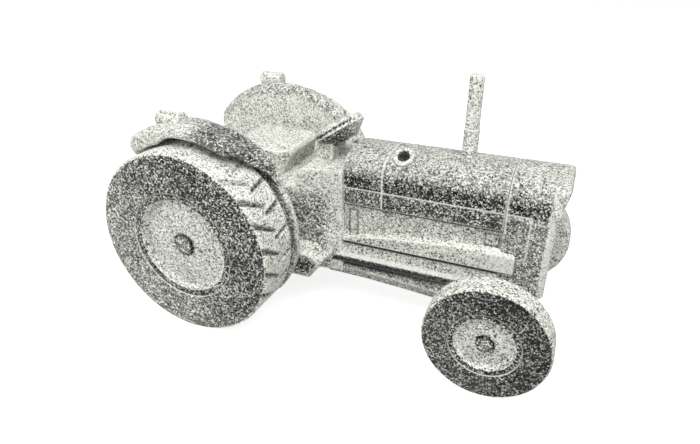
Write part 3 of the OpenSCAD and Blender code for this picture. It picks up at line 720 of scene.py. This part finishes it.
carve(["bonnet"], 1.5, 1, bonnet_finish, bonnet_lines, top_painted_shade)
carve(["nose"], 1.5, 1, nose_finish, nose_lines, top_painted_shade, shape=nose_shape, melt=nose_melt)
carve(["grille"], 1.9, 1, even(0.8))
carve(["engine_block"], 1.9, 2, engine_finish, engine_highlight_and_end, engine_painted_shade, shape=engine_shape)
carve(["gearbox", "scuttle", "footplate_left", "footplate_right"], 2.5, 3, gearbox_finish,
      melt=gearbox_melt)
carve(["rear_axle"], 3.4, 3, even(0.7))
carve(["front_axle"], 2.6, 3, even(0.6))
carve(["axle_bracket"], 2.4, 2, even(0.6))
for side_name in SIDES:
    carve([f"fender_{side_name}"], 2.4, 3, fender_finish, wear=0.1, shape=fender_shape)
    carve([f"lamp_{side_name}"], 1.5, 2, even(0.95), shape=lamp_shape)
carve(["seat"], 2.4, 3, seat_finish)
carve(["steering_column"], 1.8, 2, even(0.85))
carve(["steering_wheel"], 1.6, 2, steering_finish, shape=steering_shape)
carve(["exhaust_sleeve"], 1.3, 2, even(0.95))
carve(["exhaust_pipe"], 1.3, 2, even(0.95))
carve(["filler_boss"], 1.0, 1, even(0.75), filler_lines, filler_bore_shade)


# Turned pieces: round meshes about their axle

ARC_POINTS = 6
TREAD_DEPTH = 6.5
# How dark the painted shade in the tread's grooves is
GROOVE_SHADE = 0.40


def fillet(before, corner, after, radius):
    """Points of the arc that rounds a corner."""
    a = (before - corner) / np.linalg.norm(before - corner)
    b = (after - corner) / np.linalg.norm(after - corner)
    half = math.acos(max(-1, min(1, float(a @ b)))) / 2
    middle = (a + b) / np.linalg.norm(a + b)
    centre = corner + middle * radius / math.sin(half)
    start = corner + a * radius / math.tan(half) - centre
    end = corner + b * radius / math.tan(half) - centre
    points = []
    for t in np.linspace(0, 1, ARC_POINTS):
        way = start * (1 - t) + end * t
        points.append(centre + way / np.linalg.norm(way) * radius)
    return points


def outline(corners, step):
    """A profile through corners, each with its radius, depth and rounding. A fourth number is the
    longest stretch without a point from there to the next corner; it is step for other corners."""
    place = [np.array(c[:2], float) for c in corners]
    turned = []
    for i, corner in enumerate(corners):
        reach = corner[3] if len(corner) > 3 else step
        if corner[2]:
            arc = fillet(place[i - 1], place[i], place[(i + 1) % len(place)], corner[2])
        else:
            arc = [place[i]]
        turned += [(point, reach) for point in arc]
    points = []
    for (a, reach), (b, _) in zip(turned, turned[1:]):
        count = max(1, math.ceil(np.linalg.norm(b - a) / reach))
        points += [a + (b - a) * t / count for t in range(count)]
    points.append(turned[-1][0])
    return np.array(points)


def turned_mesh(name, co, closed):
    """A mesh of rings of points. A closed one's last ring is welded to its first, and others have ends."""
    rows, around = co.shape[:2]
    here = np.arange(rows * around).reshape(rows, around)
    ahead = np.roll(here, -1, 1)
    faces = np.stack([here[:-1], here[1:], ahead[1:], ahead[:-1]], -1).reshape(-1, 4).tolist()
    if not closed:
        faces += [here[0].tolist(), here[-1].tolist()]
    mesh = bpy.data.meshes.new(name)
    mesh.from_pydata(co.reshape(-1, 3).tolist(), [], faces)
    work = bmesh.new()
    work.from_mesh(mesh)
    if closed:
        work.verts.ensure_lookup_table()
        pairs = {work.verts[a]: work.verts[b] for a, b in zip(here[-1].tolist(), here[0].tolist())}
        bmesh.ops.weld_verts(work, targetmap=pairs)
    bmesh.ops.recalc_face_normals(work, faces=work.faces)
    work.to_mesh(mesh)
    work.free()
    return mesh


def turn(node, profile, segments, axle, finish, chalk_and_painted_highlight, dent=None, film=0.0):
    """A round stone piece about an axle. The profile runs in radius and in depth, which is 0 at the
    wheel's outer face and below 0 inwards. dent cuts grooves, and film is how dark its polish is."""
    radius, depth = np.repeat(profile[:, :, None], segments, 2).transpose(1, 0, 2)
    angle = np.broadcast_to(np.arange(segments) * 2 * math.pi / segments, radius.shape)
    cut = dent(radius, depth, angle) if dent else np.zeros_like(radius)
    x, y = (radius - cut) * np.cos(angle), (radius - cut) * np.sin(angle)
    centre_x, face_y, centre_z, side = axle
    co = np.stack([centre_x + x, side * (face_y + depth), centre_z - side * y], -1) * MM
    mesh = turned_mesh(node, co, np.allclose(profile[0], profile[-1]))
    roughen(mesh)
    value = finish(radius, depth, angle, cut)
    white = chalk_and_painted_highlight(radius, depth)
    # Painted shade in the tread's grooves
    groove = GROOVE_SHADE * ramp(cut, 0.5 * TREAD_DEPTH, TREAD_DEPTH)
    painted_shade_and_film = np.maximum(groove, film * ramp(value, 0.6, 0.4) * (1 - white))
    count = len(mesh.vertices)
    put(mesh, "finish", value.ravel()[:count])
    put(mesh, "chalk_and_painted_highlight", white.ravel()[:count])
    put(mesh, "painted_shade_and_film", painted_shade_and_film.ravel()[:count])
    settle(new_piece("stone_" + node, mesh), [node], stone)


# Wheels, in mm

# Angle about the axle where a tyre's sidewall is palest: painted light
PAINTED_LIGHT_ANGLE = math.radians(215)
BEAD_GAP = 0.2
EDGE_GAP = 0.3
RING = 1.2
DISH_DROP = 3.5
DISC_INSET = 4
SEAT_DEPTH = 5
SEAT_GAP = 1.1
BORE_GAP = 1.0
RUN_GAP = 0.9
PIN_MIDDLE = 0.4
TREAD_STEP, WALL_STEP, DISC_STEP = 2.2, 12, 6
DISC_SEGMENTS, PIN_SEGMENTS = 200, 80
LUGS = 24
PITCH = 2 * math.pi / LUGS
OUTER_LEAN, INNER_LEAN = 24, 6
OUTER_TURN, INNER_TURN = 0.30, 0.80
OUTER_WIDTH, INNER_WIDTH, MIDDLE_WIDTH = 9.0, 6.0, 5.0
MIDDLE_RIB = 3
TREAD_MARGIN = 2.0
TREAD_SINK = 4.5
WORN_SHARE = 0.6
WORN_ARC = (0.66, 0.88)


class Wheel:
    """Sizes of one axle's wheels, in mm. Depths run inwards from the tyre's outer face."""

    def __init__(self, axle, segments, polish, film, tread, shoulder, far_shoulder, rim, wall, dish,
                 head, pin, boss):
        tyre, disc, shank = (f"{kind}_{axle}_left" for kind in ("tyre", "disc", "pin"))
        self.axle = axle
        self.x = sum(span(tyre, 0)) / 2
        self.z = sum(span(tyre, 2)) / 2
        self.face = span(tyre, 1)[1]
        self.width = self.face - span(tyre, 1)[0]
        self.radius = (span(tyre, 0)[1] - span(tyre, 0)[0]) / 2
        self.bead = (span(disc, 0)[1] - span(disc, 0)[0]) / 2
        self.back = self.face - span(disc, 1)[0]
        self.pin_end = self.face - span(shank, 1)[0]
        self.head_top = self.face - span(shank, 1)[1]
        self.segments, self.polish, self.film, self.tread = segments, polish, film, tread
        self.shoulder, self.far_shoulder = shoulder, far_shoulder
        self.rim, self.wall, self.dish = rim, wall, dish
        self.head, self.pin, self.boss = head, pin, boss
        self.seat_z = -dish - SEAT_DEPTH

    def place(self, side):
        return self.x, self.face, self.z, side


def tread(wheel, way):
    """Slanting grooves on both halves of a rear tyre, worn shallow at the top."""
    floor_r = wheel.radius - TREAD_SINK
    pitch_length = PITCH * floor_r

    def half(depth, angle, turn_by, lean, width, start, end):
        t = np.clip((depth - start) / (end - start), 0, 1)
        off = (angle - way * turn_by * PITCH + PITCH / 2) % PITCH - PITCH / 2
        middle = way * lean * (t - 0.5)
        gap = (off * floor_r - middle + pitch_length / 2) % pitch_length - pitch_length / 2
        width = blend(MIDDLE_WIDTH, width, t)
        low, high = min(start, end), max(start, end)
        ends = ramp(depth, low - 1, low + 1) * ramp(depth, high + 1, high - 1)
        return ramp(np.abs(gap), width / 2 + 0.9, width / 2 - 0.9) * ends

    def dent(radius, depth, angle):
        middle = -wheel.width / 2
        outer = half(depth, angle, OUTER_TURN, OUTER_LEAN, OUTER_WIDTH, middle - MIDDLE_RIB, -TREAD_MARGIN)
        inner = half(depth, angle, INNER_TURN, INNER_LEAN, INNER_WIDTH, middle + MIDDLE_RIB,
                     -wheel.width + TREAD_MARGIN)
        worn = 1 - WORN_SHARE * ramp(way * np.sin(angle), *WORN_ARC)
        on_tread = ramp(radius, wheel.radius - 5.5, wheel.radius - 2)
        return np.maximum(outer, inner) * worn * TREAD_DEPTH * on_tread

    return dent


def add_tyre(wheel, side_name):
    side = SIDES[side_name]
    tread_start = wheel.radius - wheel.shoulder + 2
    bead = wheel.bead + BEAD_GAP

    def finish(radius, depth, angle, cut):
        tread_share = ramp(radius, tread_start - 0.8, tread_start + 1.2)
        inner = ramp(depth, -wheel.width + 3, -wheel.width + 1)
        # Duller and so paler polish towards that angle: painted light on the sidewall
        polish = wheel.polish * blend(0.2, 1, ramp(np.cos(angle - PAINTED_LIGHT_ANGLE), -0.7, 0.8))
        # The tread is also a little darker where it is cut: painted shade in the grooves
        return blend(blend(polish, wheel.tread - 0.10 * cut, tread_share), 0.92, inner)

    def chalk_and_painted_highlight(radius, depth):
        return 0.75 * ramp(radius, wheel.bead + 0.9, wheel.bead + 0.4) * (depth > -3)

    section = outline([
        (bead, -wheel.width / 2, 0),
        (bead, 0, 0.7),
        (wheel.radius, 0, wheel.shoulder if side < 0 else wheel.far_shoulder, TREAD_STEP),
        (wheel.radius, -wheel.width, wheel.shoulder),
        (bead, -wheel.width, 0.7),
        (bead, -wheel.width / 2, 0),
    ], WALL_STEP)
    grooves = tread(wheel, -side) if wheel.axle == "rear" else None
    turn(f"tyre_{wheel.axle}_{side_name}", section, wheel.segments, wheel.place(side), finish, chalk_and_painted_highlight,
         grooves, wheel.film)


def add_disc(wheel, side_name):
    edge = wheel.bead - EDGE_GAP
    seat = wheel.head + SEAT_GAP
    bore = wheel.pin + BORE_GAP
    boss_end = RUN_GAP - wheel.back
    back = -wheel.width + DISC_INSET

    def finish(radius, depth, angle, cut):
        rim = ramp(radius, wheel.rim - 0.4, wheel.rim + 0.8) * (depth > -4)
        return blend(0.81, wheel.polish * 0.2, rim) * ramp(radius, seat + 0.2, seat + 1.4)

    def chalk_and_painted_highlight(radius, depth):
        return 0.6 * ramp(radius, edge - 0.7, edge - 0.2) * (depth > -4)

    section = outline([
        (edge, -wheel.width / 2, 0),
        (edge, -RING, 0.5),
        (edge - RING, -RING, 0),
        (wheel.rim, -RING, 1.0),
        (wheel.wall, -wheel.dish - DISH_DROP, 2.0),
        (wheel.wall * 0.5, -wheel.dish, 0),
        (seat, -wheel.dish, 0.4),
        (seat, wheel.seat_z, 0),
        (bore, wheel.seat_z, 0),
        (bore, boss_end, 0),
        (wheel.boss, boss_end, 0.8),
        (wheel.boss, back, 0),
        (edge, back, 0.5),
        (edge, -wheel.width / 2, 0),
    ], DISC_STEP)
    place = wheel.place(SIDES[side_name])
    turn(f"disc_{wheel.axle}_{side_name}", section, DISC_SEGMENTS, place, finish, chalk_and_painted_highlight)


def add_pin(wheel, side_name):
    top = -wheel.head_top

    def finish(radius, depth, angle, cut):
        return 0.45 * ramp(radius, wheel.head - 0.6, wheel.head - 1.8)

    def chalk_and_painted_highlight(radius, depth):
        return np.zeros(radius.shape)

    section = outline([
        (PIN_MIDDLE, top, 0),
        (wheel.head * 0.6, top - 0.1, 0),
        (wheel.head, top - 0.6, 1.4),
        (wheel.head, wheel.seat_z + RUN_GAP, 0),
        (wheel.pin, wheel.seat_z + RUN_GAP, 0),
        (wheel.pin, -wheel.pin_end, 0),
        (PIN_MIDDLE, -wheel.pin_end, 0),
    ], DISC_STEP)
    place = wheel.place(SIDES[side_name])
    turn(f"pin_{wheel.axle}_{side_name}", section, PIN_SEGMENTS, place, finish, chalk_and_painted_highlight)


rear_wheel = Wheel("rear", segments=480, polish=0.34, film=0, tread=0.98, shoulder=6, far_shoulder=14,
                   rim=77, wall=72, dish=8, head=15.5, pin=11, boss=30)
front_wheel = Wheel("front", segments=320, polish=0.18, film=0.32, tread=0.84, shoulder=5, far_shoulder=5,
                    rim=41.5, wall=38, dish=6, head=10.9, pin=8, boss=18)
for wheel in (rear_wheel, front_wheel):
    for side_name in SIDES:
        add_tyre(wheel, side_name)
        add_disc(wheel, side_name)
        add_pin(wheel, side_name)


# Camera at the photograph's place

TARGET = Vector((-0.00945, 0, 0.13019))
AZIMUTH, ELEVATION, ROLL = (math.radians(a) for a in (23.47, 27.41, -0.21))
DISTANCE = 0.92504
LENS = 27.377


def add_camera():
    data = bpy.data.cameras.new("camera")
    data.sensor_fit = "HORIZONTAL"
    data.sensor_width = 36
    data.lens = LENS
    camera = new_piece("camera", data)
    back = Vector((math.sin(AZIMUTH) * math.cos(ELEVATION), -math.cos(AZIMUTH) * math.cos(ELEVATION),
                   math.sin(ELEVATION)))
    level = Vector((0, 0, 1)).cross(back).normalized()
    upright = back.cross(level)
    right = level * math.cos(ROLL) + upright * math.sin(ROLL)
    up = back.cross(right)
    turned = Matrix((right, up, back)).transposed().to_4x4()
    camera.matrix_world = Matrix.Translation(TARGET + back * DISTANCE) @ turned
    scene.camera = camera


add_camera()


# White studio

AMBIENT = 0.50
FLOOR_REACH = 6.0
FLOOR_COLOUR = 0.62
FLOOR_GLOW = 0.80
WHITE = (1, 1, 1, 1)


def seen_share(make):
    """1 for rays that show the background: straight from the camera, mirrored or through glass."""
    path = make("LightPath").outputs
    mirrored = make("Math", path["Is Camera Ray"], path["Is Glossy Ray"], operation="MAXIMUM").outputs[0]
    return make("Math", mirrored, path["Is Transmission Ray"], operation="MAXIMUM").outputs[0]


def add_world():
    world = bpy.data.worlds.new("studio")
    scene.world = world
    world.use_nodes = True
    world.node_tree.nodes.clear()
    make, links = node_maker(world)
    strength = make("MapRange", seen_share(make), 0.0, 1.0, AMBIENT, 1.0)
    background = make("Background", WHITE, strength.outputs[0])
    out = make("OutputWorld")
    links.new(background.outputs[0], out.inputs["Surface"])


def add_floor():
    mesh = bpy.data.meshes.new("floor")
    corners = [(x * FLOOR_REACH, y * FLOOR_REACH, 0) for x, y in ((-1, -1), (1, -1), (1, 1), (-1, 1))]
    mesh.from_pydata(corners, [], [(0, 1, 2, 3)])
    floor = new_piece("floor", mesh)
    material = bpy.data.materials.new("floor_white")
    material.use_nodes = True
    material.node_tree.nodes.clear()
    make, links = node_maker(material)
    paper = make("BsdfDiffuse", grey(FLOOR_COLOUR))
    shine = make("Math", seen_share(make), FLOOR_GLOW, operation="MULTIPLY").outputs[0]
    glow = make("Emission", WHITE, shine)
    both = make("AddShader", paper.outputs[0], glow.outputs[0])
    out = make("OutputMaterial")
    links.new(both.outputs[0], out.inputs["Surface"])
    mesh.materials.append(material)


def add_light(name, place, target, size, level):
    """A square soft light that lifts the target by level, where 1 shows a colour as it is written."""
    data = bpy.data.lights.new(name, "AREA")
    data.size = size
    away = Vector(place) - Vector(target)
    data.energy = level * math.pi ** 2 * away.length_squared
    light = new_piece(name, data)
    light.matrix_world = Matrix.Translation(place) @ away.to_track_quat("Z", "Y").to_matrix().to_4x4()


add_world()
add_floor()
add_light("key", place=(0.35, -0.60, 1.5), target=(0, 0, 0.15), size=1.1, level=0.79)
add_light("fill", place=(-1.0, -0.75, 0.40), target=(-0.2, -0.2, 0.15), size=0.4, level=0.35)
